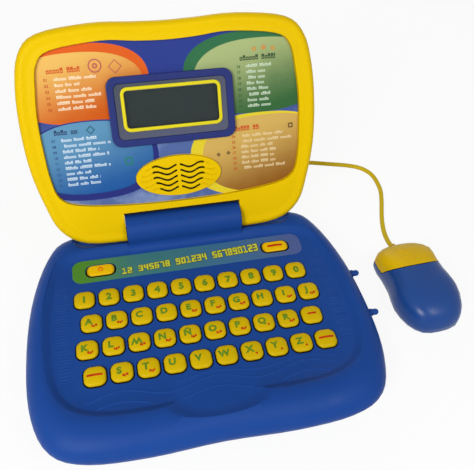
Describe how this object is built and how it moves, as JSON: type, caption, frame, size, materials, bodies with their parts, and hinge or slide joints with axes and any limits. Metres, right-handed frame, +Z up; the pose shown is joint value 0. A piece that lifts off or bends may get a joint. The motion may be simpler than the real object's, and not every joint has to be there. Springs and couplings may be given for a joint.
{
  "type": "toy laptop computer",
  "caption": "Child's clamshell learning computer with a rounded base, pressing keys, a hinged lid with a small display and grille, and a wired mouse.",
  "frame": {"origin": "middle of the base's underside, on the plane that it stands on", "axes": "+X to the user's right, +Y from the user to the hinge, +Z up"},
  "size_m": [0.315, 0.2771, 0.1742],
  "materials": {
    "blue_plastic": "satin moulded",
    "yellow_plastic": "satin moulded",
    "yellow_key": "satin moulded",
    "mouse_yellow": "satin moulded",
    "frame_blue": "gloss moulded",
    "printed_sheet": "printed film",
    "clear_window": "clear",
    "display_glass": "gloss",
    "speaker_black": "matte",
    "screw_steel": "plated",
    "circuit_board": "matte",
    "dome_rubber": "matte",
    "relief_rubber": "matte",
    "cord_pvc": "satin"
  },
  "bodies": {
    "base": {"base_bottom_shell": "blue_plastic", "base_top_shell": "blue_plastic", "battery_door": "blue_plastic", "case_screws": "screw_steel", "main_board": "circuit_board", "key_mat": "dome_rubber", "cord_grommet": "relief_rubber", "mouse_cord": "cord_pvc"},
    "lid": {"lid_back_shell": "yellow_plastic", "lid_front_bezel": "yellow_plastic", "panel_label": "printed_sheet", "screen_frame": "frame_blue", "screen_window": "clear_window", "lcd_module": "display_glass", "speaker": "speaker_black"},
    "mouse": {"mouse_lower_shell": "blue_plastic", "mouse_upper_shell": "blue_plastic"},
    "mouse_click": {"mouse_button": "mouse_yellow"},
    "power_button": {"power_button": "yellow_key"},
    "play_button": {"play_button": "yellow_key"},
    "key_1": {"key_1": "yellow_key"},
    "key_2": {"key_2": "yellow_key"},
    "key_3": {"key_3": "yellow_key"},
    "key_4": {"key_4": "yellow_key"},
    "key_5": {"key_5": "yellow_key"},
    "key_6": {"key_6": "yellow_key"},
    "key_7": {"key_7": "yellow_key"},
    "key_8": {"key_8": "yellow_key"},
    "key_9": {"key_9": "yellow_key"},
    "key_0": {"key_0": "yellow_key"},
    "key_a": {"key_a": "yellow_key"},
    "key_b": {"key_b": "yellow_key"},
    "key_c": {"key_c": "yellow_key"},
    "key_d": {"key_d": "yellow_key"},
    "key_e": {"key_e": "yellow_key"},
    "key_f": {"key_f": "yellow_key"},
    "key_g": {"key_g": "yellow_key"},
    "key_h": {"key_h": "yellow_key"},
    "key_i": {"key_i": "yellow_key"},
    "key_j": {"key_j": "yellow_key"},
    "key_k": {"key_k": "yellow_key"},
    "key_l": {"key_l": "yellow_key"},
    "key_m": {"key_m": "yellow_key"},
    "key_n": {"key_n": "yellow_key"},
    "key_enye": {"key_enye": "yellow_key"},
    "key_o": {"key_o": "yellow_key"},
    "key_p": {"key_p": "yellow_key"},
    "key_q": {"key_q": "yellow_key"},
    "key_r": {"key_r": "yellow_key"},
    "key_dash": {"key_dash": "yellow_key"},
    "key_left": {"key_left": "yellow_key"},
    "key_s": {"key_s": "yellow_key"},
    "key_t": {"key_t": "yellow_key"},
    "key_u": {"key_u": "yellow_key"},
    "key_v": {"key_v": "yellow_key"},
    "key_w": {"key_w": "yellow_key"},
    "key_x": {"key_x": "yellow_key"},
    "key_y": {"key_y": "yellow_key"},
    "key_z": {"key_z": "yellow_key"},
    "key_right": {"key_right": "yellow_key"}
  },
  "joints": [
    {"name": "lid_hinge", "type": "hinge", "parent": "base", "child": "lid", "pos_m": [0, 0.079, 0.0394], "axis": [1, 0, 0], "range_deg": [0, 116]},
    {"name": "mouse_swing", "type": "hinge", "parent": "base", "child": "mouse", "pos_m": [0.16843, 0.05356, 0.006], "axis": [0, 0, 1], "range_deg": [-10, 10]},
    {"name": "mouse_button_press", "type": "hinge", "parent": "mouse", "child": "mouse_click", "pos_m": [0.16988, 0.02039, 0.017], "axis": [-0.999, -0.0436, 0], "range_deg": [0, 1.3], "stiffness_Nm_per_rad": 0.4, "springref_deg": -2.86},
    {"name": "power_press", "type": "slide", "parent": "base", "child": "power_button", "axis": [0, 0, -1], "range_m": [0, 0.0018], "stiffness_N_per_m": 200, "springref_m": -0.0004},
    {"name": "play_press", "type": "slide", "parent": "base", "child": "play_button", "axis": [0, 0, -1], "range_m": [0, 0.0018], "stiffness_N_per_m": 200, "springref_m": -0.0004},
    {"name": "key_1_press", "type": "slide", "parent": "base", "child": "key_1", "axis": [0, 0, -1], "range_m": [0, 0.0018], "stiffness_N_per_m": 200, "springref_m": -0.0004},
    {"name": "key_2_press", "type": "slide", "parent": "base", "child": "key_2", "axis": [0, 0, -1], "range_m": [0, 0.0018], "stiffness_N_per_m": 200, "springref_m": -0.0004},
    {"name": "key_3_press", "type": "slide", "parent": "base", "child": "key_3", "axis": [0, 0, -1], "range_m": [0, 0.0018], "stiffness_N_per_m": 200, "springref_m": -0.0004},
    {"name": "key_4_press", "type": "slide", "parent": "base", "child": "key_4", "axis": [0, 0, -1], "range_m": [0, 0.0018], "stiffness_N_per_m": 200, "springref_m": -0.0004},
    {"name": "key_5_press", "type": "slide", "parent": "base", "child": "key_5", "axis": [0, 0, -1], "range_m": [0, 0.0018], "stiffness_N_per_m": 200, "springref_m": -0.0004},
    {"name": "key_6_press", "type": "slide", "parent": "base", "child": "key_6", "axis": [0, 0, -1], "range_m": [0, 0.0018], "stiffness_N_per_m": 200, "springref_m": -0.0004},
    {"name": "key_7_press", "type": "slide", "parent": "base", "child": "key_7", "axis": [0, 0, -1], "range_m": [0, 0.0018], "stiffness_N_per_m": 200, "springref_m": -0.0004},
    {"name": "key_8_press", "type": "slide", "parent": "base", "child": "key_8", "axis": [0, 0, -1], "range_m": [0, 0.0018], "stiffness_N_per_m": 200, "springref_m": -0.0004},
    {"name": "key_9_press", "type": "slide", "parent": "base", "child": "key_9", "axis": [0, 0, -1], "range_m": [0, 0.0018], "stiffness_N_per_m": 200, "springref_m": -0.0004},
    {"name": "key_0_press", "type": "slide", "parent": "base", "child": "key_0", "axis": [0, 0, -1], "range_m": [0, 0.0018], "stiffness_N_per_m": 200, "springref_m": -0.0004},
    {"name": "key_a_press", "type": "slide", "parent": "base", "child": "key_a", "axis": [0, 0, -1], "range_m": [0, 0.0018], "stiffness_N_per_m": 200, "springref_m": -0.0004},
    {"name": "key_b_press", "type": "slide", "parent": "base", "child": "key_b", "axis": [0, 0, -1], "range_m": [0, 0.0018], "stiffness_N_per_m": 200, "springref_m": -0.0004},
    {"name": "key_c_press", "type": "slide", "parent": "base", "child": "key_c", "axis": [0, 0, -1], "range_m": [0, 0.0018], "stiffness_N_per_m": 200, "springref_m": -0.0004},
    {"name": "key_d_press", "type": "slide", "parent": "base", "child": "key_d", "axis": [0, 0, -1], "range_m": [0, 0.0018], "stiffness_N_per_m": 200, "springref_m": -0.0004},
    {"name": "key_e_press", "type": "slide", "parent": "base", "child": "key_e", "axis": [0, 0, -1], "range_m": [0, 0.0018], "stiffness_N_per_m": 200, "springref_m": -0.0004},
    {"name": "key_f_press", "type": "slide", "parent": "base", "child": "key_f", "axis": [0, 0, -1], "range_m": [0, 0.0018], "stiffness_N_per_m": 200, "springref_m": -0.0004},
    {"name": "key_g_press", "type": "slide", "parent": "base", "child": "key_g", "axis": [0, 0, -1], "range_m": [0, 0.0018], "stiffness_N_per_m": 200, "springref_m": -0.0004},
    {"name": "key_h_press", "type": "slide", "parent": "base", "child": "key_h", "axis": [0, 0, -1], "range_m": [0, 0.0018], "stiffness_N_per_m": 200, "springref_m": -0.0004},
    {"name": "key_i_press", "type": "slide", "parent": "base", "child": "key_i", "axis": [0, 0, -1], "range_m": [0, 0.0018], "stiffness_N_per_m": 200, "springref_m": -0.0004},
    {"name": "key_j_press", "type": "slide", "parent": "base", "child": "key_j", "axis": [0, 0, -1], "range_m": [0, 0.0018], "stiffness_N_per_m": 200, "springref_m": -0.0004},
    {"name": "key_k_press", "type": "slide", "parent": "base", "child": "key_k", "axis": [0, 0, -1], "range_m": [0, 0.0018], "stiffness_N_per_m": 200, "springref_m": -0.0004},
    {"name": "key_l_press", "type": "slide", "parent": "base", "child": "key_l", "axis": [0, 0, -1], "range_m": [0, 0.0018], "stiffness_N_per_m": 200, "springref_m": -0.0004},
    {"name": "key_m_press", "type": "slide", "parent": "base", "child": "key_m", "axis": [0, 0, -1], "range_m": [0, 0.0018], "stiffness_N_per_m": 200, "springref_m": -0.0004},
    {"name": "key_n_press", "type": "slide", "parent": "base", "child": "key_n", "axis": [0, 0, -1], "range_m": [0, 0.0018], "stiffness_N_per_m": 200, "springref_m": -0.0004},
    {"name": "key_enye_press", "type": "slide", "parent": "base", "child": "key_enye", "axis": [0, 0, -1], "range_m": [0, 0.0018], "stiffness_N_per_m": 200, "springref_m": -0.0004},
    {"name": "key_o_press", "type": "slide", "parent": "base", "child": "key_o", "axis": [0, 0, -1], "range_m": [0, 0.0018], "stiffness_N_per_m": 200, "springref_m": -0.0004},
    {"name": "key_p_press", "type": "slide", "parent": "base", "child": "key_p", "axis": [0, 0, -1], "range_m": [0, 0.0018], "stiffness_N_per_m": 200, "springref_m": -0.0004},
    {"name": "key_q_press", "type": "slide", "parent": "base", "child": "key_q", "axis": [0, 0, -1], "range_m": [0, 0.0018], "stiffness_N_per_m": 200, "springref_m": -0.0004},
    {"name": "key_r_press", "type": "slide", "parent": "base", "child": "key_r", "axis": [0, 0, -1], "range_m": [0, 0.0018], "stiffness_N_per_m": 200, "springref_m": -0.0004},
    {"name": "key_dash_press", "type": "slide", "parent": "base", "child": "key_dash", "axis": [0, 0, -1], "range_m": [0, 0.0018], "stiffness_N_per_m": 200, "springref_m": -0.0004},
    {"name": "key_left_press", "type": "slide", "parent": "base", "child": "key_left", "axis": [0, 0, -1], "range_m": [0, 0.0018], "stiffness_N_per_m": 200, "springref_m": -0.0004},
    {"name": "key_s_press", "type": "slide", "parent": "base", "child": "key_s", "axis": [0, 0, -1], "range_m": [0, 0.0018], "stiffness_N_per_m": 200, "springref_m": -0.0004},
    {"name": "key_t_press", "type": "slide", "parent": "base", "child": "key_t", "axis": [0, 0, -1], "range_m": [0, 0.0018], "stiffness_N_per_m": 200, "springref_m": -0.0004},
    {"name": "key_u_press", "type": "slide", "parent": "base", "child": "key_u", "axis": [0, 0, -1], "range_m": [0, 0.0018], "stiffness_N_per_m": 200, "springref_m": -0.0004},
    {"name": "key_v_press", "type": "slide", "parent": "base", "child": "key_v", "axis": [0, 0, -1], "range_m": [0, 0.0018], "stiffness_N_per_m": 200, "springref_m": -0.0004},
    {"name": "key_w_press", "type": "slide", "parent": "base", "child": "key_w", "axis": [0, 0, -1], "range_m": [0, 0.0018], "stiffness_N_per_m": 200, "springref_m": -0.0004},
    {"name": "key_x_press", "type": "slide", "parent": "base", "child": "key_x", "axis": [0, 0, -1], "range_m": [0, 0.0018], "stiffness_N_per_m": 200, "springref_m": -0.0004},
    {"name": "key_y_press", "type": "slide", "parent": "base", "child": "key_y", "axis": [0, 0, -1], "range_m": [0, 0.0018], "stiffness_N_per_m": 200, "springref_m": -0.0004},
    {"name": "key_z_press", "type": "slide", "parent": "base", "child": "key_z", "axis": [0, 0, -1], "range_m": [0, 0.0018], "stiffness_N_per_m": 200, "springref_m": -0.0004},
    {"name": "key_right_press", "type": "slide", "parent": "base", "child": "key_right", "axis": [0, 0, -1], "range_m": [0, 0.0018], "stiffness_N_per_m": 200, "springref_m": -0.0004}
  ]
}
